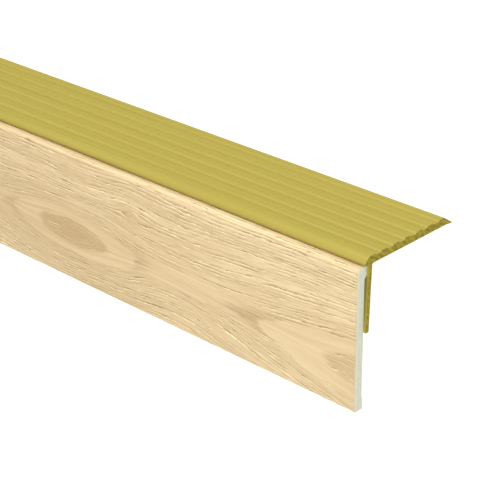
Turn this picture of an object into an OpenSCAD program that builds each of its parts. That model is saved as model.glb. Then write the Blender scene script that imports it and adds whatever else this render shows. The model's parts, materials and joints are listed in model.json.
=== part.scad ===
// Stair nosing: a ribbed, gold-anodised aluminium angle with an oak-effect vinyl strip on its riser side.
// The section is drawn as it is fitted to a stair, with the front of the nose lip at y = 0, the flange's
// underside at z = 0, y running back over the tread and z running up. The whole length is then laid down as it
// rests unheld on a floor: nose up, on the strip's lower back edge and the flange's rear tip.

/* [Stock] */
// Length that the nosing is sold in
stock_length = 900; // [300:50:2700]

/* [Tread flange] */
// Depth of the flange, from the nose lip to the rear tip
flange_depth = 41; // [40.5:0.1:43]
// Thickness of the flange under its grooves
flange_web = 2.12; // [1.8:0.01:2.3]
// Number of grip ribs across the flange
rib_count = 7; // [3:1:7]
// Distance from one rib to the next
rib_pitch = 5.44; // [5:0.01:5.5]
// Height of a rib above its grooves
rib_height = 0.58; // [0.3:0.01:0.7]
// Width of a rib's flat crest
rib_crest = 2; // [1.5:0.05:2.1]
// Width of a rib's sloping flank
rib_flank = 0.9; // [0.7:0.05:1]
// Radius that eases the edges of the ribs and grooves
rib_edge_r = 0.8; // [0.2:0.05:1]
// Depth of the bevel behind the last rib, down to the rear tip
rear_bevel = 4; // [3.5:0.05:4.1]
// Length of the underside that droops to the rear tip
droop_length = 2.5; // [1.5:0.1:3]
// Drop of the rear tip below the flange's underside
tip_drop = 0.4; // [0.2:0.05:0.6]
// Height of the blunt end face at the rear tip
tip_face = 0.3; // [0.2:0.05:0.5]

/* [Nose] */
// Depth of the nose bevel, from the lip back to the first crest
nose_depth = 2.2; // [2:0.05:2.4]
// Height of the lip's lower edge above the flange's underside
lip_rise = 0.15; // [0.1:0.05:0.6]
// Height of the upright lip below the nose bevel
lip_height = 0.6; // [0.1:0.05:0.8]
// Bulge of the nose bevel out of its straight chord
nose_bulge = 0.2; // [0.1:0.02:0.3]

/* [Leg] */
// Length of the leg below the flange
leg_length = 22.45; // [18:0.05:30]
// Thickness of the leg at the flange's underside
leg_thickness = 1.35; // [1.2:0.05:1.5]
// Thickness of the leg at its toe
toe_thickness = 1.6; // [1.4:0.05:1.8]
// Angle that the leg's back leans towards the strip
leg_lean = 2.1; // [1:0.1:2.2]
// Radius of both edges of the leg's toe
toe_r = 0.45; // [0.3:0.05:0.55]
// Distance of the leg's front face behind the lip, at the flange's underside
leg_setback = 1.8; // [1.7:0.05:2.2]
// Fillet inside the angle, which the edge of the stair clears
root_fillet = 0.5; // [0.3:0.1:1]

/* [Riser strip] */
// Height of the strip
strip_height = 48.25; // [40:0.05:60]
// Distance that the strip's face stands in front of the lip
strip_proud = 2.3; // [2:0.1:4]
// Gap between the flange's underside and the top of the strip
strip_drop = 0.5; // [0.3:0.05:1]
// Distance of the strip's cut ends inside the ends of the angle
strip_inset = 0.75; // [0:0.05:2]
// Height of the head pad that bears on the leg
head_height = 3.1; // [2.5:0.1:6]
// Height of the foot pad at the bottom of the strip's back
foot_height = 4; // [2:0.1:6]
// Step from the strip's recess out to its foot pad
foot_step = 0.35; // [0.1:0.05:0.5]
// Radius of the strip's upper front edge
brow_r = 1.3; // [1:0.1:1.5]
// Radius of the strip's lower front edge
chin_r = 0.6; // [0.55:0.05:1]
// Thickness of the decor foil round the strip
foil_thickness = 0.45; // [0.3:0.05:0.5]

/* [Hidden] */
// Largest turn between neighbouring points of an arc, in degrees
arc_step = 5;

// Unit vector from one point towards another
function towards(a, b) = (b - a) / norm(b - a);

// Points of the arc round a centre, the short way from start to finish
function arc(centre, start, finish) =
    let (
        spoke = start - centre,
        last = finish - centre,
        first_angle = atan2(spoke[1], spoke[0]),
        sweep = atan2(cross(spoke, last), spoke * last),
        steps = ceil(abs(sweep) / arc_step)
    )
    [for (i = [0 : steps])
        let (angle = first_angle + sweep * i / steps)
        centre + norm(spoke) * [cos(angle), sin(angle)]];

// Half of the angle at corner p between the edges to a and b
function half_angle(a, p, b) = acos(towards(p, a) * towards(p, b)) / 2;

// Centre of the arc of radius r that eases corner p
function eased_centre(a, p, b, r) =
    p + towards([0, 0], towards(p, a) + towards(p, b)) * r / sin(half_angle(a, p, b));

// Corner p of an outline that comes from a and goes on to b, eased by an arc of radius r
function eased(a, p, b, r) =
    let (reach = r / tan(half_angle(a, p, b)))
    arc(eased_centre(a, p, b, r), p + towards(p, a) * reach, p + towards(p, b) * reach);

// Ribs and grooves of the flange
crest_z = flange_web + rib_height;
groove_mouth = rib_pitch - rib_crest;
groove_floor = groove_mouth - 2 * rib_flank;
first_rib_y = nose_depth + rib_crest / 2;

// Corners of the flange
lip_foot = [0, lip_rise];
lip_top = [0, lip_rise + lip_height];
first_crest = [nose_depth, crest_z];
rear_crest = [flange_depth - rear_bevel, crest_z];
tip_top = [flange_depth, tip_face - tip_drop];
tip_foot = [flange_depth, -tip_drop];
droop_start = [flange_depth - droop_length, 0];

// The nose bevel is an arc from the top of the lip to the first crest
nose_half = norm(first_crest - lip_top) / 2;
nose_r = (nose_half * nose_half + nose_bulge * nose_bulge) / (2 * nose_bulge);
nose_along = towards(lip_top, first_crest);
nose_inward = [nose_along[1], -nose_along[0]];
nose_centre = (lip_top + first_crest) / 2 + nose_inward * (nose_r - nose_bulge);

// The leg leans, grows thicker towards its toe, and touches the floor of the strip's recess with the toe
leg_down = [-sin(leg_lean), -cos(leg_lean)];
leg_back = [cos(leg_lean), -sin(leg_lean)];
leg_front = [leg_setback, 0];
inner_corner = [leg_setback + leg_thickness, 0];
toe_back = inner_corner + leg_length * leg_down;
toe_front = toe_back - toe_thickness * leg_back;
toe_centre = eased_centre(toe_back, toe_front, leg_front, toe_r);

// Point of the leg's front face at height z
function on_leg(z) = leg_front + (toe_front - leg_front) * z / toe_front[1];

// Back of the strip: the head pad bears on the leg's leaning face, and the pads slope to the recess at 45 degrees
strip_top = -strip_drop;
strip_bottom = strip_top - strip_height;
head_top = on_leg(strip_top);
head_foot = on_leg(strip_top - head_height);
recess_y = toe_centre[0] - toe_r;
foot_y = recess_y + foot_step;
recess_head = [recess_y, head_foot[1] - (head_foot[0] - recess_y)];
recess_foot = [recess_y, strip_bottom + foot_height + foot_step];
foot_top = [foot_y, strip_bottom + foot_height];

// Corners of the strip outside and inside its foil
brow = [-strip_proud, strip_top];
chin = [-strip_proud, strip_bottom];
foot_edge = [foot_y, strip_bottom];
core_brow = brow + [foil_thickness, -foil_thickness];
core_chin = chin + [foil_thickness, foil_thickness];
core_foot = foot_edge + [0, foil_thickness];
core_head = on_leg(strip_top - foil_thickness);

// Lying pose: the line from the strip's lower back edge to the foot of the rear tip becomes the floor
lie_tilt = atan2(tip_foot[1] - foot_edge[1], tip_foot[0] - foot_edge[0]);
chin_centre = chin + [chin_r, chin_r];

// Distance of a point of the section behind the strip's lower back edge, once it lies on the floor
function lying_y(p) = (p - foot_edge) * [cos(lie_tilt), sin(lie_tilt)];

middle_y = (lying_y(chin_centre) - chin_r + lying_y(tip_top)) / 2;

// Outline of one groove between two ribs, from the front crest to the back crest
function groove(middle) =
    let (
        along = [groove_mouth, 0],
        front = [middle - groove_mouth / 2, crest_z],
        back = [middle + groove_mouth / 2, crest_z],
        floor_front = [middle - groove_floor / 2, flange_web],
        floor_back = [middle + groove_floor / 2, flange_web]
    )
    concat(
        eased(front - along, front, floor_front, rib_edge_r),
        eased(front, floor_front, floor_back, rib_edge_r),
        eased(floor_front, floor_back, back, rib_edge_r),
        eased(floor_back, back, back + along, rib_edge_r)
    );

// Turns an outline into a length whose ends stop short of the stock's ends by the inset, laid down with the
// middle of the footprint at the origin
module laid_length(outline, inset = 0) {
    translate([inset - stock_length / 2, -middle_y, 0])
        rotate([-lie_tilt, 0, 0])
            translate([0, -foot_edge[0], -foot_edge[1]])
                rotate([90, 0, 90])
                    linear_extrude(stock_length - 2 * inset) polygon(outline);
}

// Angle: from the lip over the nose and ribs to the rear tip, back under the flange and round the leg
module nosing_angle() {
    color("#c1b157") laid_length(concat(
        [lip_foot],
        arc(nose_centre, lip_top, first_crest),
        [for (gap = [1 : rib_count - 1]) each groove(first_rib_y + (gap - 0.5) * rib_pitch)],
        eased(first_crest, rear_crest, tip_top, rib_edge_r),
        [tip_top, tip_foot, droop_start],
        eased(droop_start, inner_corner, toe_back, root_fillet),
        eased(inner_corner, toe_back, toe_front, toe_r),
        eased(toe_back, toe_front, leg_front, toe_r),
        [on_leg(lip_rise)]
    ));
}

// Core of the strip: its front lies inside the foil, and its back has the head pad, recess and foot pad
module riser_strip() {
    color("#d3d4c0") laid_length(concat(
        eased(core_foot, core_chin, core_brow, chin_r - foil_thickness),
        eased(core_chin, core_brow, core_head, brow_r - foil_thickness),
        [core_head, head_foot, recess_head, recess_foot, foot_top, core_foot]
    ), strip_inset);
}

// Foil: round the outside of the bottom, front and top, and back along the core
module oak_foil() {
    color("#e1c89a") laid_length(concat(
        [foot_edge],
        eased(foot_edge, chin, brow, chin_r),
        eased(chin, brow, head_top, brow_r),
        [head_top, core_head],
        eased(core_head, core_brow, core_chin, brow_r - foil_thickness),
        eased(core_brow, core_chin, core_foot, chin_r - foil_thickness),
        [core_foot]
    ), strip_inset);
}

nosing_angle();
riser_strip();
oak_foil();
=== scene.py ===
"""Finishes for a length of stair nosing: a gold-anodised angle with an oak-print strip on its riser side.

The length lies on a floor, nose up. The angle and the strip's core keep their solid shapes and get their
finishes here. The decor foil is made again as a fine mesh, with the wood pores pressed into its face.
"""
import json
import math
import random
from collections import namedtuple

import bpy
import numpy as np
from bpy.props import FloatProperty, FloatVectorProperty, IntProperty, PointerProperty
from bpy.types import Operator, Panel, PropertyGroup
from mathutils import Matrix, Quaternion, Vector, noise


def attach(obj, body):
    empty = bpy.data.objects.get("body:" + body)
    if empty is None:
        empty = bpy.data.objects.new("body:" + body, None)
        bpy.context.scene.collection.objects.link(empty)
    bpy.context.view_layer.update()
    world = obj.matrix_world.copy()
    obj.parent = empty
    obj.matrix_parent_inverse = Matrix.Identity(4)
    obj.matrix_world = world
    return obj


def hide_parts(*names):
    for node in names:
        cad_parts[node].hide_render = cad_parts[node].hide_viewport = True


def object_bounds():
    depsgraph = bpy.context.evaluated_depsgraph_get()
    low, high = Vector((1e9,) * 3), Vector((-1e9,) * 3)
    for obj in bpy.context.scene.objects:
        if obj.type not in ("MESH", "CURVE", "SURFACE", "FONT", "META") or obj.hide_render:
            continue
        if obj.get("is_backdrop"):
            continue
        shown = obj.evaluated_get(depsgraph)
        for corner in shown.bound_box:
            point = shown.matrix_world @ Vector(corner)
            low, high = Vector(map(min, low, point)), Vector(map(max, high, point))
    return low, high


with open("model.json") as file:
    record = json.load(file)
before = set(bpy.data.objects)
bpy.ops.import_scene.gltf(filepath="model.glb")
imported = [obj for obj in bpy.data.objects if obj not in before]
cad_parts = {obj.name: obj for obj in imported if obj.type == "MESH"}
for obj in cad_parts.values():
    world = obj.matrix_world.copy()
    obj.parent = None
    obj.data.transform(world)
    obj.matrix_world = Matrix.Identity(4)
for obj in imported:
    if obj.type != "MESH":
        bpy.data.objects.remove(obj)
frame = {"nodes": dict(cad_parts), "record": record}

bl_info = {
    "name": "Stair Nosing Finishes",
    "version": (1, 0, 0),
    "blender": (4, 5, 0),
    "location": "View3D > Sidebar > Nosing",
    "description": "Dresses a length of ribbed stair nosing with its metal, vinyl and oak-print finishes",
    "category": "Object",
}

MM = 0.001
WHITE = (1.0, 1.0, 1.0, 1.0)


def linear(hex_colour):
    """Turns an sRGB hex colour such as #c1b157 into linear RGBA."""
    channels = [int(hex_colour[i:i + 2], 16) / 255 for i in (1, 3, 5)]
    curve = [c / 12.92 if c <= 0.04045 else ((c + 0.055) / 1.055) ** 2.4 for c in channels]
    return (*curve, 1.0)


def colour_property(name, description, hex_colour):
    """A colour that a user can change, given as an sRGB hex value."""
    return FloatVectorProperty(
        name=name, description=description, default=linear(hex_colour),
        size=4, subtype="COLOR", min=0.0, max=1.0,
    )


def length_property(name, description, size, low, high):
    """A length that a user can change. Its default and its limits are given in millimetres."""
    return FloatProperty(
        name=name, description=description, default=size * MM, min=low * MM, max=high * MM,
        subtype="DISTANCE", unit="LENGTH", precision=5,
    )


def angle_property(name, description, degrees):
    """An angle that a user can change. Its default is given in degrees."""
    return FloatProperty(
        name=name, description=description, default=math.radians(degrees), subtype="ANGLE", unit="ROTATION",
    )


def brightness_property(name, description, default):
    """A brightness that a user can change."""
    return FloatProperty(name=name, description=description, default=default, min=0.0)


def mount_axis(name):
    """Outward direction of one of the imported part's mounting faces."""
    found = [m for m in frame["record"]["mounts"] if m["name"] == name]
    return Vector(found[0]["axis"])


# The tread face looks straight down on a fitted nosing, which gives the turn between the two poses
tread_axis = mount_axis("tread_seat")
FITTED_TURN = Matrix.Rotation(math.atan2(-tread_axis.y, -tread_axis.z), 4, "X")


def fitted_points(node):
    """Vertices of a node turned back to the pose in which the nosing is fitted: y back, z up, in metres."""
    mesh = frame["nodes"][node].data
    flat = np.zeros(len(mesh.vertices) * 3)
    mesh.vertices.foreach_get("co", flat)
    return flat.reshape(-1, 3) @ np.array(FITTED_TURN.to_3x3()).T


# Box of the strip on a fitted nosing, and how far its top and its bottom reach back
foil_points = fitted_points("oak_foil")
STRIP_LOW = foil_points.min(0)
STRIP_HIGH = foil_points.max(0)
STRIP_LENGTH, HEAD_DEPTH, STRIP_HEIGHT = STRIP_HIGH - STRIP_LOW
LEVEL_SLACK = 0.1 * MM
at_bottom = foil_points[:, 2] < STRIP_LOW[2] + LEVEL_SLACK
FOOT_DEPTH = foil_points[at_bottom, 1].max() - STRIP_LOW[1]


def to_floor(points):
    """Places fitted points, measured from the strip's lower front corner, in the lying pose."""
    return (np.asarray(points) + STRIP_LOW) @ np.array(FITTED_TURN.to_3x3())


class AngleSettings(PropertyGroup):
    """Finish of the aluminium angle."""
    gold: colour_property("Gold", "Dyed oxide on the aluminium", "#cbbd64")
    gold_edge: colour_property("Gold edge", "Tint of the metal seen at a low angle", "#e7e0bc")
    # Painted shade: the sawn ends get a darker gold than the faces, standing in for the shade on the end
    # faces
    sawn: colour_property("Sawn end", "Cut end of the angle", "#94873a")
    # Real die lines are finer than this, and wouldn't show in a render
    die_line: length_property(
        "Die line", "Width of the fine drawn lines along the extrusion", 0.35, 0.05, 2.0,
    )
    roughness: FloatProperty(
        name="Roughness", description="Satin of the etched metal", default=0.68, min=0.0, max=1.0,
        subtype="FACTOR",
    )


class CoreSettings(PropertyGroup):
    """Finish of the strip's vinyl core."""
    vinyl: colour_property("Vinyl", "Unprinted vinyl of the core", "#bcbeaa")
    saw_mark: length_property("Saw mark", "Spacing of the marks on the sawn end", 0.5, 0.1, 2.0)


class FoilSettings(PropertyGroup):
    """Shape, relief and print of the decor foil."""
    thickness: length_property("Thickness", "Thickness of the foil", 0.45, 0.2, 0.6)
    brow_radius: length_property("Brow radius", "Radius of the strip's upper front edge", 1.3, 0.7, 2.0)
    chin_radius: length_property("Chin radius", "Radius of the strip's lower front edge", 0.6, 0.5, 1.5)
    relief: length_property("Relief", "Depth of the pores pressed into the face", 0.12, 0.0, 0.2)
    line_gap: length_property("Line gap", "Distance from one line of pores to the next", 1.4, 0.5, 3.0)
    line_width: length_property("Line width", "Width of a line of pores", 0.33, 0.1, 0.6)
    columns: IntProperty(name="Columns", description="Steps along the length", default=510, min=50, max=515)
    rows: IntProperty(name="Rows", description="Steps up the face", default=150, min=20, max=150)
    chafe: length_property(
        "Chafe", "Width of the print that the saw has whitened along the cut ends", 0.9, 0.0, 3.0,
    )
    seed: IntProperty(
        name="Seed", description="Choice of wood figure away from the near end", default=7, min=0,
    )
    light: colour_property("Light wood", "Palest wood between the figures", "#f0d7a8")
    dark: colour_property("Dark wood", "Hearts and edges of the figures", "#bb9c69")
    pore: colour_property("Pores", "Pressed lines of pores", "#9a7232")
    # Painted highlight: the pale lip stands in for the light caught by the lower side of each pressed line
    # of pores
    lip_highlight: colour_property("Lip", "Pale lower edge of each line of pores", "#ffefbf")
    cut: colour_property("Cut edge", "Unprinted vinyl on the cut ends of the foil", "#cfc4a8")


class StageSettings(PropertyGroup):
    """Floor, lights and camera."""
    floor: colour_property("Floor", "Paint of the floor, under its glow", "#808080")
    glow: brightness_property("Glow", "Light that the floor gives by itself", 0.92)
    ambient: brightness_property("Ambient", "Even light from all round", 0.38)
    back_light: brightness_property("Back light", "Brightness of the softbox behind", 1.05)
    top_light: brightness_property("Top light", "Brightness of the softbox above", 3.1)
    front_light: brightness_property("Front light", "Brightness of the softbox in front", 0.8)
    view_right: length_property("View right", "Camera beyond the near end", 253.9, 0.0, 1000.0)
    view_front: length_property("View front", "Camera in front of the strip's face", 309.7, 0.0, 1000.0)
    view_height: length_property("View height", "Camera above the strip's top", 206.57, 0.0, 1000.0)
    view_azimuth: angle_property("Azimuth", "Turn of the view to the right of square on", 43.77)
    view_elevation: angle_property("Elevation", "View looks down by this angle on a fitted nosing", 26.57)
    view_roll: angle_property("Roll", "Tilt of the camera about its view", -0.57)
    focal_length: FloatProperty(
        name="Focal length", description="Lens of the camera on a 36 mm sensor", default=113.04,
        min=10.0, max=300.0, subtype="DISTANCE_CAMERA", unit="CAMERA",
    )


def add_node(tree, kind, links=None, **settings):
    """Adds a shader node. Links maps its inputs to output sockets or constant values."""
    node = tree.nodes.new(kind)
    for name, value in settings.items():
        setattr(node, name, value)
    for name, value in (links or {}).items():
        socket = node.inputs[name]
        if isinstance(value, bpy.types.NodeSocket):
            tree.links.new(value, socket)
        else:
            socket.default_value = value
    return node


def new_material(name):
    """A material and its node tree, which is empty."""
    material = bpy.data.materials.new(name)
    material.use_nodes = True
    material.node_tree.nodes.clear()
    return material, material.node_tree


def cells(*sizes):
    """Scale that gives a pattern cells of the given sizes along x, y and z."""
    return tuple(1 / size for size in sizes)


# Gold-anodised aluminium, extruded: a satin metal with faint drawn lines along the length
def anodised_aluminium(settings):
    material, tree = new_material("gold_anodised_aluminium")
    place = add_node(tree, "ShaderNodeTexCoord").outputs["Object"]
    line_length = 180 * MM
    drawn = add_node(tree, "ShaderNodeMapping", {
        "Vector": place, "Scale": cells(line_length, settings.die_line, settings.die_line),
    })
    lines = add_node(tree, "ShaderNodeTexNoise", {
        "Vector": drawn.outputs[0], "Scale": 1.0, "Detail": 3.0, "Roughness": 0.6,
    })
    shade = add_node(tree, "ShaderNodeMapRange", {
        "Value": lines.outputs["Fac"], "From Min": 0.3, "From Max": 0.7, "To Min": 0.94, "To Max": 1.05,
    })
    tint = add_node(tree, "ShaderNodeMix", {
        "Factor": 1.0, "A": settings.gold, "B": shade.outputs[0],
    }, data_type="RGBA", blend_type="MULTIPLY")

    # The etch leaves long clouds that are a little duller or brighter
    cloud_length = 60 * MM
    cloud_width = 12 * MM
    clouded = add_node(tree, "ShaderNodeMapping", {
        "Vector": place, "Scale": cells(cloud_length, cloud_width, cloud_width),
    })
    clouds = add_node(tree, "ShaderNodeTexNoise", {
        "Vector": clouded.outputs[0], "Scale": 1.0, "Detail": 2.0,
    })
    cloud_change = 0.04
    satin = add_node(tree, "ShaderNodeMapRange", {
        "Value": clouds.outputs["Fac"], "From Min": 0.3, "From Max": 0.7,
        "To Min": settings.roughness - cloud_change, "To Max": settings.roughness + cloud_change,
    })
    bump = add_node(tree, "ShaderNodeBump", {
        "Height": lines.outputs["Fac"], "Strength": 0.25, "Distance": 0.01 * MM,
    })
    surface = add_node(tree, "ShaderNodeBsdfPrincipled", {
        "Base Color": tint.outputs["Result"], "Metallic": 1.0, "Roughness": satin.outputs[0],
        "Specular Tint": settings.gold_edge, "Normal": bump.outputs[0],
    })
    add_node(tree, "ShaderNodeOutputMaterial", {"Surface": surface.outputs[0]})
    return material


# Sawn aluminium end: the same gold metal, darker as painted shade on the end faces, with fine upright saw
# lines
def sawn_aluminium_with_painted_shade(settings):
    material, tree = new_material("sawn_aluminium_end_painted_shade")
    place = add_node(tree, "ShaderNodeTexCoord").outputs["Object"]
    mark_depth = 10 * MM
    mark_width = 0.8 * MM
    mark_height = 2.5 * MM
    sawn = add_node(tree, "ShaderNodeMapping", {
        "Vector": place, "Scale": cells(mark_depth, mark_width, mark_height),
    })
    marks = add_node(tree, "ShaderNodeTexNoise", {
        "Vector": sawn.outputs[0], "Scale": 1.0, "Detail": 3.0, "Roughness": 0.7,
    })
    shade = add_node(tree, "ShaderNodeMapRange", {
        "Value": marks.outputs["Fac"], "From Min": 0.36, "From Max": 0.64, "To Min": 0.65, "To Max": 1.35,
    })
    tint = add_node(tree, "ShaderNodeMix", {
        "Factor": 1.0, "A": settings.sawn, "B": shade.outputs[0],
    }, data_type="RGBA", blend_type="MULTIPLY")
    bump = add_node(tree, "ShaderNodeBump", {
        "Height": marks.outputs["Fac"], "Strength": 0.5, "Distance": 0.03 * MM,
    })
    surface = add_node(tree, "ShaderNodeBsdfPrincipled", {
        "Base Color": tint.outputs["Result"], "Metallic": 1.0, "Roughness": 0.55,
        "Specular Tint": settings.gold_edge, "Normal": bump.outputs[0],
    })
    add_node(tree, "ShaderNodeOutputMaterial", {"Surface": surface.outputs[0]})
    return material


# Extruded rigid vinyl: a dull pale plastic, slightly mottled, with saw marks on its cut ends
def rigid_vinyl(settings):
    material, tree = new_material("extruded_rigid_vinyl")
    place = add_node(tree, "ShaderNodeTexCoord").outputs["Object"]
    mottle_length = 8 * MM
    mottle_width = 1.5 * MM
    mottled = add_node(tree, "ShaderNodeMapping", {
        "Vector": place, "Scale": cells(mottle_length, mottle_width, mottle_width),
    })
    mottle = add_node(tree, "ShaderNodeTexNoise", {
        "Vector": mottled.outputs[0], "Scale": 1.0, "Detail": 4.0,
    })
    shade = add_node(tree, "ShaderNodeMapRange", {
        "Value": mottle.outputs["Fac"], "From Min": 0.3, "From Max": 0.7, "To Min": 0.93, "To Max": 1.04,
    })
    tint = add_node(tree, "ShaderNodeMix", {
        "Factor": 1.0, "A": settings.vinyl, "B": shade.outputs[0],
    }, data_type="RGBA", blend_type="MULTIPLY")
    mark_depth = 6 * MM
    mark_height = 4 * MM
    sawn = add_node(tree, "ShaderNodeMapping", {
        "Vector": place, "Scale": cells(mark_depth, settings.saw_mark, mark_height),
    })
    marks = add_node(tree, "ShaderNodeTexNoise", {"Vector": sawn.outputs[0], "Scale": 1.0, "Detail": 2.0})
    bump = add_node(tree, "ShaderNodeBump", {
        "Height": marks.outputs["Fac"], "Strength": 0.4, "Distance": 0.04 * MM,
    })
    surface = add_node(tree, "ShaderNodeBsdfPrincipled", {
        "Base Color": tint.outputs["Result"], "Roughness": 0.62, "IOR": 1.53, "Normal": bump.outputs[0],
    })
    add_node(tree, "ShaderNodeOutputMaterial", {"Surface": surface.outputs[0]})
    return material


# Values of the oak print at each point of the foil, stored on its mesh as attributes named oak_ and the
# field: millimetres along the board, to the nearer cut end and across the grain, darkness of the wood,
# share of fine hair lines, number of the line of pores, how much the lines crowd together, and how hard
# they are pressed
Grain = namedtuple("Grain", "along end flow tone rough lines crowd press")

# Size of a noise cell, counted in lines of pores, so that neighbouring lines have nothing in common
LINE_CELL = 0.137


def pore_lines(tree, grain, place, settings):
    """Sockets for the lines of pores in the print: how much ink they take, and the painted highlight of
    their pale lower lips.
    """
    # The lines waver, and each breaks up into dashes
    waver_length = 3.5
    waver_width = 1.1
    dash_length = 7.0
    wavered = add_node(tree, "ShaderNodeMapping", {
        "Vector": place, "Scale": cells(waver_length, waver_width, 1.0),
    })
    waver = add_node(tree, "ShaderNodeTexNoise", {
        "Vector": wavered.outputs[0], "Scale": 1.0, "Detail": 2.0, "Roughness": 0.6,
    })
    waver = add_node(tree, "ShaderNodeMapRange", {
        "Value": waver.outputs["Fac"], "To Min": 0.05, "To Max": 0.95,
    })
    count = add_node(tree, "ShaderNodeMath", {0: grain.lines, 1: waver.outputs[0]}, operation="ADD")
    number = add_node(tree, "ShaderNodeMath", {0: count.outputs[0]}, operation="FLOOR")
    line_place = add_node(tree, "ShaderNodeCombineXYZ", {"X": grain.along, "Y": number.outputs[0]})
    dashed = add_node(tree, "ShaderNodeMapping", {
        "Vector": line_place.outputs[0], "Scale": cells(dash_length, LINE_CELL, 1.0),
    })
    dashes = add_node(tree, "ShaderNodeTexNoise", {
        "Vector": dashed.outputs[0], "Scale": 1.0, "Detail": 2.0,
    })
    dashes = add_node(tree, "ShaderNodeMapRange", {
        "Value": dashes.outputs["Fac"], "From Min": 0.36, "From Max": 0.56, "To Min": 0.15, "To Max": 1.0,
    })
    press = add_node(tree, "ShaderNodeMath", {0: dashes.outputs[0], 1: grain.press}, operation="MULTIPLY")

    # Where the lines crowd together, only some of them are pressed
    lot = add_node(tree, "ShaderNodeTexWhiteNoise", {"W": number.outputs[0]}, noise_dimensions="1D")
    lot = add_node(tree, "ShaderNodeMath", {0: lot.outputs["Value"], 1: grain.crowd}, operation="MULTIPLY")
    drawn = add_node(tree, "ShaderNodeMapRange", {
        "Value": lot.outputs[0], "From Min": 1.0, "From Max": 1.3, "To Min": 1.0, "To Max": 0.0,
    })
    press = add_node(tree, "ShaderNodeMath", {
        0: drawn.outputs[0], 1: press.outputs[0],
    }, operation="MULTIPLY")

    # Height above the nearest line, in line gaps, gives the pores and the painted highlight on the lip below
    # them
    above = add_node(tree, "ShaderNodeMath", {0: count.outputs[0]}, operation="FRACT")
    above = add_node(tree, "ShaderNodeMath", {0: above.outputs[0], 1: 0.5}, operation="SUBTRACT")
    above = add_node(tree, "ShaderNodeMath", {0: above.outputs[0], 1: grain.crowd}, operation="DIVIDE")
    half_width = 0.5 * settings.line_width / settings.line_gap
    full_to = 0.3 * half_width
    gone_by = 1.1 * half_width
    # Painted highlight: the pale band of the lip sits this far below the middle of each line
    lip_highlight_drop = 1.7 * half_width
    bands = []
    for middle in (0.0, -lip_highlight_drop):
        away = add_node(tree, "ShaderNodeMath", {0: above.outputs[0], 1: middle}, operation="SUBTRACT")
        away = add_node(tree, "ShaderNodeMath", {0: away.outputs[0]}, operation="ABSOLUTE")
        band = add_node(tree, "ShaderNodeMapRange", {
            "Value": away.outputs[0], "From Min": full_to, "From Max": gone_by, "To Min": 1.0, "To Max": 0.0,
        })
        band = add_node(tree, "ShaderNodeMath", {
            0: band.outputs[0], 1: press.outputs[0],
        }, operation="MULTIPLY")
        bands.append(band.outputs[0])
    return bands


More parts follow.
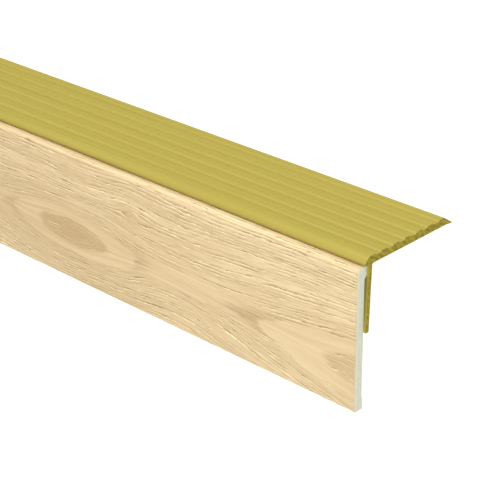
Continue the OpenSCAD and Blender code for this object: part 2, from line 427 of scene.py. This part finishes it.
# Printed vinyl foil, embossed: pale oak under a dull clear coat. Each pressed line of pores is printed
# dark, with a painted highlight as a pale lip along its lower edge, and finer hair lines fill the gaps
def oak_print(settings):
    material, tree = new_material("embossed_oak_print_foil")
    grain = Grain(*[
        add_node(tree, "ShaderNodeAttribute", attribute_name="oak_" + field).outputs["Fac"]
        for field in Grain._fields
    ])
    place = add_node(tree, "ShaderNodeCombineXYZ", {"X": grain.along, "Y": grain.flow}).outputs[0]
    pore, lip_highlight = pore_lines(tree, grain, place, settings)
    hair_length = 9.0
    hair_width = 0.38
    haired = add_node(tree, "ShaderNodeMapping", {
        "Vector": place, "Scale": cells(hair_length, hair_width, 1.0),
    })
    hairs = add_node(tree, "ShaderNodeTexNoise", {"Vector": haired.outputs[0], "Scale": 1.0, "Detail": 1.0})
    hairs = add_node(tree, "ShaderNodeMapRange", {
        "Value": hairs.outputs["Fac"], "From Min": 0.56, "From Max": 0.64, "To Max": 0.35,
    })
    hairs = add_node(tree, "ShaderNodeMath", {0: hairs.outputs[0], 1: grain.rough}, operation="MULTIPLY")
    pressed = add_node(tree, "ShaderNodeMath", {0: pore, 1: hairs.outputs[0]}, operation="MAXIMUM")

    # Fibres make the wood a little lighter and darker
    fibre_length = 16.0
    fibre_width = 0.45
    fibred = add_node(tree, "ShaderNodeMapping", {
        "Vector": place, "Scale": cells(fibre_length, fibre_width, 1.0),
    })
    fibres = add_node(tree, "ShaderNodeTexNoise", {
        "Vector": fibred.outputs[0], "Scale": 1.0, "Detail": 4.0, "Roughness": 0.6,
    })
    shade = add_node(tree, "ShaderNodeMapRange", {
        "Value": fibres.outputs["Fac"], "From Min": 0.25, "From Max": 0.75, "To Min": 0.16, "To Max": -0.16,
    })
    tone = add_node(tree, "ShaderNodeMath", {
        0: grain.tone, 1: shade.outputs[0],
    }, operation="ADD", use_clamp=True)
    wood = add_node(tree, "ShaderNodeMix", {
        "Factor": tone.outputs[0], "A": settings.light, "B": settings.dark,
    }, data_type="RGBA")

    # The lips' painted highlight, the ink of the pores and the whitened ends are printed over the wood in
    # turn
    lip_highlight_share = 0.95
    ink_share = 0.8
    chafe_share = 0.8
    lip_highlight_cover = add_node(tree, "ShaderNodeMath", {0: lip_highlight, 1: lip_highlight_share}, operation="MULTIPLY")
    lip_highlighted = add_node(tree, "ShaderNodeMix", {
        "Factor": lip_highlight_cover.outputs[0], "A": wood.outputs["Result"], "B": settings.lip_highlight,
    }, data_type="RGBA")
    ink_cover = add_node(tree, "ShaderNodeMath", {
        0: pressed.outputs[0], 1: ink_share,
    }, operation="MULTIPLY")
    inked = add_node(tree, "ShaderNodeMix", {
        "Factor": ink_cover.outputs[0], "A": lip_highlighted.outputs["Result"], "B": settings.pore,
    }, data_type="RGBA")
    chafe_cover = add_node(tree, "ShaderNodeMapRange", {
        "Value": grain.end, "From Min": 0.0, "From Max": settings.chafe / MM,
        "To Min": chafe_share, "To Max": 0.0,
    })
    chafed = add_node(tree, "ShaderNodeMix", {
        "Factor": chafe_cover.outputs[0], "A": inked.outputs["Result"], "B": settings.cut,
    }, data_type="RGBA")
    bump = add_node(tree, "ShaderNodeBump", {
        "Height": pressed.outputs[0], "Strength": 1.0, "Distance": 0.08 * MM,
    }, invert=True)
    surface = add_node(tree, "ShaderNodeBsdfPrincipled", {
        "Base Color": chafed.outputs["Result"], "Roughness": 0.52, "IOR": 1.5, "Normal": bump.outputs[0],
    })
    add_node(tree, "ShaderNodeOutputMaterial", {"Surface": surface.outputs[0]})
    return material


# Cut vinyl foil: the unprinted body of the foil, dull and paler than its print
def cut_foil(settings):
    material, tree = new_material("cut_vinyl_foil_edge")
    surface = add_node(tree, "ShaderNodeBsdfPrincipled", {
        "Base Color": settings.cut, "Roughness": 0.62, "IOR": 1.53,
    })
    add_node(tree, "ShaderNodeOutputMaterial", {"Surface": surface.outputs[0]})
    return material


# Painted studio floor: matt, with an even white glow that leaves only faint shadows on it
def pale_floor(settings):
    material, tree = new_material("pale_studio_floor")
    surface = add_node(tree, "ShaderNodeBsdfPrincipled", {
        "Base Color": settings.floor, "Roughness": 0.9,
        "Emission Color": WHITE, "Emission Strength": settings.glow,
    })
    add_node(tree, "ShaderNodeOutputMaterial", {"Surface": surface.outputs[0]})
    return material


def arc(centre, radius, first, last, steps):
    """Points on an arc between two angles in degrees."""
    angles = np.radians(np.linspace(first, last, steps + 1))
    return np.column_stack([centre[0] + radius * np.cos(angles), centre[1] + radius * np.sin(angles)])


def line(start, end, steps):
    """Points from start up to, but not at, end."""
    share = np.arange(steps)[:, None] / steps
    return np.asarray(start) + share * (np.asarray(end) - np.asarray(start))


# Steps along each stretch of the foil's section, apart from its face
FOOT_STEPS = 4
CHIN_STEPS = 6
BROW_STEPS = 10
HEAD_STEPS = 6
INNER_BROW_STEPS = 5
INNER_CHIN_STEPS = 3


def foil_outline(settings):
    """Outer and inner sides of the foil's section, in millimetres from the strip's lower front corner."""
    height = STRIP_HEIGHT / MM
    head = HEAD_DEPTH / MM
    foot = FOOT_DEPTH / MM
    brow = settings.brow_radius / MM
    chin = settings.chin_radius / MM
    skin = settings.thickness / MM
    outer = np.vstack([
        line((foot, 0), (chin, 0), FOOT_STEPS),
        arc((chin, chin), chin, 270, 180, CHIN_STEPS),
        line((0, chin), (0, height - brow), settings.rows)[1:],
        arc((brow, height - brow), brow, 180, 90, BROW_STEPS),
        line((brow, height), (head, height), HEAD_STEPS)[1:],
        [(head, height)],
    ])
    inner = np.vstack([
        [(head, height - skin)],
        arc((brow, height - brow), brow - skin, 90, 180, INNER_BROW_STEPS),
        arc((chin, chin), chin - skin, 180, 270, INNER_CHIN_STEPS),
        [(foot, skin)],
    ])
    return outer, inner


def outward(path):
    """Unit normals of the foil's outer side, which runs clockwise round the strip."""
    along = np.gradient(path, axis=0)
    along /= np.linalg.norm(along, axis=1)[:, None]
    return np.column_stack([-along[:, 1], along[:, 0]])


def unrolled_heights(outer):
    """Distance along the foil's outer side, which over its face is the height up the strip."""
    steps = np.linalg.norm(np.diff(outer, axis=0), axis=1)
    lengths = np.concatenate([[0], np.cumsum(steps)])
    face_start = int(np.argmin(outer[:, 0]))
    return lengths + (outer[face_start, 1] - lengths[face_start])


# Smooth noise over the board: its strength, the length and width of its cells in millimetres, and a layer
# of its own
Ripple = namedtuple("Ripple", "strength length width layer")

# Sway of the rings, and the ragged outlines that keep eyes and arches from being too regular
SLOW_SWAY = Ripple(1.0, 62, 22, 0.5)
QUICK_SWAY = Ripple(0.4, 19, 7, 3.5)
BLUNT_OUTLINE = Ripple(2.2, 21, 6.5, 27.5)
RAGGED_OUTLINE = Ripple(1.1, 9, 3.5, 5.5)
FRAYED_RING = Ripple(0.06, 5, 1.1, 23.5)

# Wander of the lines of pores, counted in lines, and their curls in knots and hearts
LONG_WANDER = Ripple(0.7, 46, 4.5, 17.5)
SHORT_WANDER = Ripple(0.35, 10, 2.2, 19.5)
CURLS = Ripple(1.0, 4.5, 3.5, 25.5)
KNOT_CURL = 1.8
HEART_CURL = 1.1

# Patches and lines that are pressed harder than others
PATCHES = Ripple(0.5, 40, 5, 13.5)
UNEVEN_LINES = Ripple(1.6, 14, LINE_CELL, 21.5)

# Changes in the darkness of the wood
BROAD_TONE = Ripple(0.14, 120, 15, 7.5)
STREAK_TONE = Ripple(0.24, 40, 2.4, 9.5)


def wood_noise(along, across, ripple):
    """Values of a ripple, from minus its strength to its strength."""
    pairs = zip((along / ripple.length).ravel(), (across / ripple.width).ravel())
    values = [noise.noise((x, y, ripple.layer)) for x, y in pairs]
    return ripple.strength * np.array(values).reshape(along.shape)


def fade(value, start, end):
    """Goes from 0 where the value is at the start to 1 where it is at the end."""
    return np.clip((value - start) / (end - start), 0, 1)


# Heart of a flat-sawn figure, where the growth rings come closest to the face. It has a place along the
# board, a level up it and a climb of that level along the board. Away from its half length, its rings draw
# together by the slope, up to its reach on either side. The first ring is the size of the innermost ring of
# pores, and the shade says how dark its rings are
Heart = namedtuple("Heart", "place level climb slope half_length reach first_ring shade")

# The arch at the near end of the strip, and the eye next to it
NEAR_ARCH = Heart(
    place=-7.0, level=14.4, climb=0.05, slope=0.25, half_length=1.0, reach=30.0, first_ring=4.4, shade=1.0,
)
NEAR_EYE = Heart(
    place=127.0, level=18.8, climb=0.0, slope=0.7, half_length=18.0, reach=10.0, first_ring=5.0, shade=0.3,
)

# The other hearts start here, follow at these distances and go on past the far end
FIRST_CHOSEN = 290.0
HEART_STEPS = (110, 190)
PAST_END = 60.0

# Small knot near the eye, as its place along the board and its level
NEAR_KNOT = (97.0, 34.0)
# Number of knots further on, where they start, and the levels between which they lie
FAR_KNOTS = 3
FIRST_FAR_KNOT = 250.0
KNOT_LEVELS = (8, 42)
KNOT_LENGTH = 9.0
KNOT_WIDTH = 8.0

# How far a knot pushes the lines apart, and how close to it they bend
KNOT_PUSH = 4.0
KNOT_BEND = 5.0
# Power that narrows a knot down to its curled middle
KNOT_MIDDLE = 4

# Depth at which the rings of neighbouring hearts meet, how softly they meet there, and how softly the other
# measures of one heart change to the next one's
MEETING_DEPTH = 18.5
DEPTH_BLEND = 2.5
SHARE_BLEND = 10.0
# Roundness of the tips of arches and eyes
TIP_ROUNDNESS = 3.2
# Smallest size that a ring is counted at, and how many times wider each ring is than the last
LEAST_RING = 0.3
RING_WIDENING = 3.0
# Half width of the band along the heart line in which the lines of pores run straight
STRAIGHT_BAND = 3.5
# Most lines that may crowd into the room of one
MOST_CROWD = 4

# Zones of the figure, as the ring numbers between which each one fades in
INSIDE_ZONE = (0.12, -0.08)
CORE_ZONE = (-1.0, -1.4)
OUTSIDE_ZONE = (0.9, 1.1)
# Distances from the heart line over which the lines become straight, and heights over which the wood pales
STRAIGHT_ZONE = (2.5, 5.5)
UPPER_ZONE = (28, 46)

# Early wood of each ring, as shares of a ring: how far ahead it lies, and where it fades in and out
EARLY_LEAD = 0.14
EARLY_START = (0.0, 0.03)
EARLY_END = (0.28, 0.08)
# Ring number from which there is early wood
FIRST_EARLY = 0.5

# How hard the pores of each zone are pressed, and how much less in the knots and the core
LINE_PRESS = 0.8
INSIDE_PRESS = 0.95
OUTSIDE_PRESS = 0.6
OUTSIDE_PATCH_PRESS = 0.8
PATCH_PRESS = 0.3
KNOT_EASE = 0.6
CORE_EASE = 0.8

# Darkness of the plain wood, and what each zone adds to it
PLAIN_TONE = 0.3
INSIDE_TONE = 0.28
CORE_TONE = 0.08
KNOT_TONE = 0.1
EARLY_TONE = 0.16
TIP_TONE = 0.22
REPEAT_TONE = 0.16
UPPER_TONE = -0.25
# Length of print after which the wood's slow change of tone repeats
PRINT_REPEAT = 300.0


def wood_hearts(settings):
    """Hearts along the whole board: the two at the near end, and others that the seed chooses."""
    hearts = [NEAR_ARCH, NEAR_EYE]
    choice = random.Random(settings.seed)
    place = FIRST_CHOSEN
    while place < STRIP_LENGTH / MM + PAST_END:
        hearts.append(Heart(
            place=place,
            level=choice.uniform(12, 36),
            climb=choice.uniform(-0.06, 0.06),
            slope=choice.uniform(0.25, 0.4),
            half_length=choice.uniform(5, 16),
            reach=choice.uniform(10, 24),
            first_ring=choice.uniform(3, 4.5),
            shade=choice.uniform(0.3, 1),
        ))
        place += choice.uniform(*HEART_STEPS)
    return hearts


def knot_shares(along, across, settings):
    """For each small knot, the height above it and how near it is, from 0 to 1."""
    choice = random.Random(settings.seed + 1)
    knots = [NEAR_KNOT]
    for _ in range(FAR_KNOTS):
        knots.append((choice.uniform(FIRST_FAR_KNOT, STRIP_LENGTH / MM), choice.uniform(*KNOT_LEVELS)))
    for centre, level in knots:
        above = across - level
        yield above, np.exp(-((along - centre) / KNOT_LENGTH) ** 2 - (above / KNOT_WIDTH) ** 2)


def mixed(values, shares):
    """Mean of one measure of the hearts, by the share that each heart has at each point."""
    return sum(value * share for value, share in zip(values, shares)) / sum(shares)


def ring_place(along, across, settings):
    """Height above the heart line, depth of the heart, shade of the rings and ring number at each point.

    A flat-sawn board cuts its rings at a depth that changes along the board. Where the rings come close to
    the face they close into eyes, and elsewhere they run out into pointed arches and near-straight lines.
    """
    hearts = wood_hearts(settings)
    depths = [h.slope * (np.hypot(along - h.place, h.half_length) - h.half_length) for h in hearts]
    depth = -DEPTH_BLEND * np.log(sum(np.exp(-d / DEPTH_BLEND) for d in (*depths, MEETING_DEPTH)))
    shares = [np.exp((depth - d) / SHARE_BLEND) for d in depths]
    heart_line = mixed([h.level + h.climb * (along - h.place) for h in hearts], shares)
    reach = mixed([h.reach for h in hearts], shares)
    first_ring = mixed([h.first_ring for h in hearts], shares)
    shade = mixed([h.shade for h in hearts], shares)
    sway = wood_noise(along, across, SLOW_SWAY) + wood_noise(along, across, QUICK_SWAY)
    rise = across - heart_line + sway
    for above, near in knot_shares(along, across, settings):
        rise -= KNOT_PUSH * np.tanh(above / KNOT_BEND) * near
    depth = MEETING_DEPTH - (MEETING_DEPTH - depth) * np.exp(-((across - heart_line) / reach) ** 2)
    ragged = wood_noise(along, across, BLUNT_OUTLINE) + wood_noise(along, across, RAGGED_OUTLINE)
    distance = np.hypot(rise + ragged, TIP_ROUNDNESS) - TIP_ROUNDNESS + depth
    ring = np.log(np.maximum(distance, LEAST_RING) / first_ring) / np.log(RING_WIDENING)
    return rise, depth, shade, ring + wood_noise(along, across, FRAYED_RING)


def oak_grain(along, across, settings):
    """Grain of the print over the unrolled foil, from places along and across it in millimetres."""
    rise, depth, shade, ring = ring_place(along, across, settings)
    phase = (ring + EARLY_LEAD) % 1.0
    early = fade(phase, *EARLY_START) * fade(phase, *EARLY_END) * (ring > FIRST_EARLY)
    inside = fade(ring, *INSIDE_ZONE)
    core = fade(ring, *CORE_ZONE)
    outside = fade(ring, *OUTSIDE_ZONE)
    straight = fade(np.abs(rise), *STRAIGHT_ZONE)
    knot = sum(near ** KNOT_MIDDLE for _, near in knot_shares(along, across, settings))

    # The lines of pores follow the rings, and run straight along the heart line
    flow = rise + depth * np.tanh(rise / STRAIGHT_BAND)
    wander = wood_noise(along, flow, LONG_WANDER) + wood_noise(along, flow, SHORT_WANDER)
    wander += (KNOT_CURL * knot + HEART_CURL * inside) * wood_noise(along, across, CURLS)
    lines = flow / (settings.line_gap / MM) + wander
    crowd = np.clip(np.gradient(flow, axis=1) / np.gradient(across, axis=1), 1, MOST_CROWD)

    # Pores are pressed into the early wood of each ring, the hearts and the wood outside the figures
    patch = 0.5 + wood_noise(along, across, PATCHES)
    rough = early + outside * straight * (OUTSIDE_PRESS + OUTSIDE_PATCH_PRESS * patch)
    rough += INSIDE_PRESS * inside + PATCH_PRESS * patch - KNOT_EASE * knot
    rough = np.clip(rough, 0, 1) * (1 - CORE_EASE * core)
    press = np.clip(LINE_PRESS + wood_noise(along, np.round(lines), UNEVEN_LINES), 0, 1)

    # The wood is darker in the hearts, in the early wood round the tips of the figures and low on the board
    repeat = 0.5 - 0.5 * np.cos(2 * np.pi * along / PRINT_REPEAT)
    tone = PLAIN_TONE + INSIDE_TONE * inside + CORE_TONE * core + KNOT_TONE * knot
    tone += (EARLY_TONE + TIP_TONE * (1 - straight)) * early * shade
    tone += REPEAT_TONE * repeat + UPPER_TONE * fade(across, *UPPER_ZONE)
    tone += wood_noise(along, across, BROAD_TONE) + wood_noise(along, flow, STREAK_TONE) * (1 - inside)
    return Grain(
        along=along,
        end=np.minimum(along, STRIP_LENGTH / MM - along),
        flow=flow,
        tone=np.clip(tone, 0, 1),
        rough=rough,
        lines=lines,
        crowd=crowd,
        press=press * rough,
    )


# Rows of points at either edge of the foil over which its relief fades out
CALM_ROWS = 3


def pressed_depth(grain, settings):
    """Depth of the pores at each point of the foil's outer side, in millimetres."""
    off_line = np.abs(grain.lines - np.round(grain.lines)) * (settings.line_gap / MM) / grain.crowd
    pressed = np.clip(1 - off_line / (settings.line_width / MM), 0, 1) * grain.press / grain.crowd
    row = np.arange(grain.lines.shape[1])
    from_edge = np.minimum(row, row[::-1])
    return settings.relief / MM * pressed * np.clip(from_edge / CALM_ROWS, 0, 1)


def foil_faces(columns, ring):
    """Faces of the foil: four-sided ones from each ring of points to the next, and a cap on either end."""
    first = np.arange(columns)[:, None] * ring
    here = np.arange(ring)[None]
    after = (here + 1) % ring
    sides = np.stack([first + here, first + after, first + ring + after, first + ring + here], axis=-1)
    last = columns * ring
    caps = [list(range(ring))[::-1], list(range(last, last + ring))]
    return sides.reshape(-1, 4).tolist() + caps


CREASE_ANGLE = math.radians(40)


def foil_mesh(settings):
    """Closed mesh of the foil, with its pores pressed in and its grain stored on its points."""
    outer, inner = foil_outline(settings)
    length = STRIP_LENGTH / MM
    along = np.linspace(0, length, settings.columns + 1)
    grain = oak_grain(*np.meshgrid(along, unrolled_heights(outer), indexing="ij"), settings)
    face = outer - pressed_depth(grain, settings)[:, :, None] * outward(outer)
    back = np.repeat(inner[None], len(along), axis=0)
    section = np.concatenate([face, back], axis=1)
    ring = section.shape[1]
    from_far_end = np.repeat(length - along, ring).reshape(-1, ring, 1)
    fitted = np.concatenate([from_far_end, section], axis=2)
    points = to_floor(fitted.reshape(-1, 3) * MM)
    mesh = bpy.data.meshes.new("oak_foil_face")
    mesh.from_pydata(points.tolist(), [], foil_faces(settings.columns, ring))

    unprinted = np.zeros(back.shape[:2])
    for field, values in grain._asdict().items():
        layer = mesh.attributes.new("oak_" + field, "FLOAT", "POINT")
        layer.data.foreach_set("value", np.concatenate([values, unprinted], axis=1).ravel())
    mesh.shade_smooth()
    mesh.set_sharp_from_angle(angle=CREASE_ANGLE)
    return mesh


class NOSING_OT_finish_angle(Operator):
    """Gives the aluminium angle its anodised faces and sawn ends"""
    bl_idname = "nosing.finish_angle"
    bl_label = "Finish angle"

    def execute(self, context):
        settings = context.scene.nosing_angle
        mesh = frame["nodes"]["nosing_angle"].data
        mesh.materials.clear()
        mesh.materials.append(anodised_aluminium(settings))
        mesh.materials.append(sawn_aluminium_with_painted_shade(settings))
        end_facing = 0.9
        for face in mesh.polygons:
            # Faces that look along the length get the darker gold of the painted shade
            face.material_index = int(abs(face.normal.x) > end_facing)
        return {"FINISHED"}


class NOSING_OT_finish_core(Operator):
    """Gives the strip's core its unprinted vinyl"""
    bl_idname = "nosing.finish_core"
    bl_label = "Finish core"

    def execute(self, context):
        mesh = frame["nodes"]["riser_strip"].data
        mesh.materials.clear()
        mesh.materials.append(rigid_vinyl(context.scene.nosing_core))
        return {"FINISHED"}


class NOSING_OT_emboss_foil(Operator):
    """Makes the decor foil with its embossed oak print"""
    bl_idname = "nosing.emboss_foil"
    bl_label = "Emboss foil"

    def execute(self, context):
        settings = context.scene.nosing_foil
        mesh = foil_mesh(settings)
        mesh.materials.append(oak_print(settings))
        mesh.materials.append(cut_foil(settings))
        for cap in mesh.polygons[-2:]:
            cap.material_index = 1
        foil = bpy.data.objects.new("oak_foil_embossed", mesh)
        context.scene.collection.objects.link(foil)
        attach(foil, "root")
        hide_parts("oak_foil")
        return {"FINISHED"}


class NOSING_OT_set_stage(Operator):
    """Adds the floor, the soft lights and the camera"""
    bl_idname = "nosing.set_stage"
    bl_label = "Set stage"

    def execute(self, context):
        settings = context.scene.nosing_stage
        self.lay_floor(context, settings)
        self.light(context, settings)
        self.aim_camera(context, settings)
        context.scene.view_settings.view_transform = "Standard"
        return {"FINISHED"}

    def lay_floor(self, context, settings):
        half = 6.0
        corners = [(-half, -half, 0), (half, -half, 0), (half, half, 0), (-half, half, 0)]
        mesh = bpy.data.meshes.new("floor")
        mesh.from_pydata(corners, [], [(0, 1, 2, 3)])
        mesh.materials.append(pale_floor(settings))
        floor = bpy.data.objects.new("floor", mesh)
        context.scene.collection.objects.link(floor)
        floor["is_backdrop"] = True

    def light(self, context, settings):
        world = bpy.data.worlds.new("soft_studio")
        world.use_nodes = True
        background = world.node_tree.nodes["Background"]
        background.inputs["Color"].default_value = WHITE
        background.inputs["Strength"].default_value = settings.ambient
        context.scene.world = world
        self.add_softbox(context, "back_softbox", (-0.62, 0.36, 0.69), 1.3, settings.back_light)
        self.add_softbox(context, "top_softbox", (0.5, 0.25, 0.83), 1.6, settings.top_light)
        self.add_softbox(context, "front_softbox", (0.35, -0.45, 0.82), 1.5, settings.front_light)

    def add_softbox(self, context, name, direction, size, brightness):
        near_end = Vector((STRIP_HIGH[0], 0.0, 0.0))
        distance = 1.5
        away = Vector(direction).normalized()
        lamp = bpy.data.lights.new(name, "AREA")
        lamp.size = size
        lamp.energy = brightness * math.pi * size ** 2
        holder = bpy.data.objects.new(name, lamp)
        holder.location = near_end + distance * away
        holder.rotation_euler = (-away).to_track_quat("-Z", "Y").to_euler()
        context.scene.collection.objects.link(holder)

    def aim_camera(self, context, settings):
        eye = Vector((
            STRIP_LENGTH + settings.view_right,
            -settings.view_front,
            STRIP_HEIGHT + settings.view_height,
        ))
        flat = math.cos(settings.view_elevation)
        look = Vector((
            -math.sin(settings.view_azimuth) * flat,
            math.cos(settings.view_azimuth) * flat,
            -math.sin(settings.view_elevation),
        ))
        turn = look.to_track_quat("-Z", "Y") @ Quaternion((0, 0, 1), settings.view_roll)
        lens = bpy.data.cameras.new("view")
        lens.sensor_width = 36.0
        lens.lens = settings.focal_length
        lens.clip_start = 0.01
        camera = bpy.data.objects.new("view", lens)
        camera.matrix_world = FITTED_TURN.inverted() @ turn.to_matrix().to_4x4()
        camera.location = Vector(to_floor([eye])[0])
        context.scene.collection.objects.link(camera)
        context.scene.camera = camera


class NOSING_PT_finishes(Panel):
    """Finishes of the stair nosing"""
    bl_idname = "NOSING_PT_finishes"
    bl_label = "Stair nosing"
    bl_space_type = "VIEW_3D"
    bl_region_type = "UI"
    bl_category = "Nosing"

    def draw(self, context):
        for operator in OPERATORS:
            self.layout.operator(operator.bl_idname)


SETTINGS = {
    "nosing_angle": AngleSettings,
    "nosing_core": CoreSettings,
    "nosing_foil": FoilSettings,
    "nosing_stage": StageSettings,
}
OPERATORS = (
    NOSING_OT_finish_angle,
    NOSING_OT_finish_core,
    NOSING_OT_emboss_foil,
    NOSING_OT_set_stage,
)


def register():
    for kind in (*SETTINGS.values(), *OPERATORS, NOSING_PT_finishes):
        bpy.utils.register_class(kind)
    for name, kind in SETTINGS.items():
        setattr(bpy.types.Scene, name, PointerProperty(type=kind))


def unregister():
    for name in SETTINGS:
        delattr(bpy.types.Scene, name)
    for kind in (NOSING_PT_finishes, *reversed(OPERATORS), *SETTINGS.values()):
        bpy.utils.unregister_class(kind)


def main():
    register()
    cad_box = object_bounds()
    bpy.ops.nosing.finish_angle()
    bpy.ops.nosing.finish_core()
    bpy.ops.nosing.emboss_foil()
    bpy.ops.nosing.set_stage()
    boxes = {"cad": cad_box, "visual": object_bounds()}
    plain = {name: [list(corner) for corner in box] for name, box in boxes.items()}


if __name__ == "__main__":
    main()
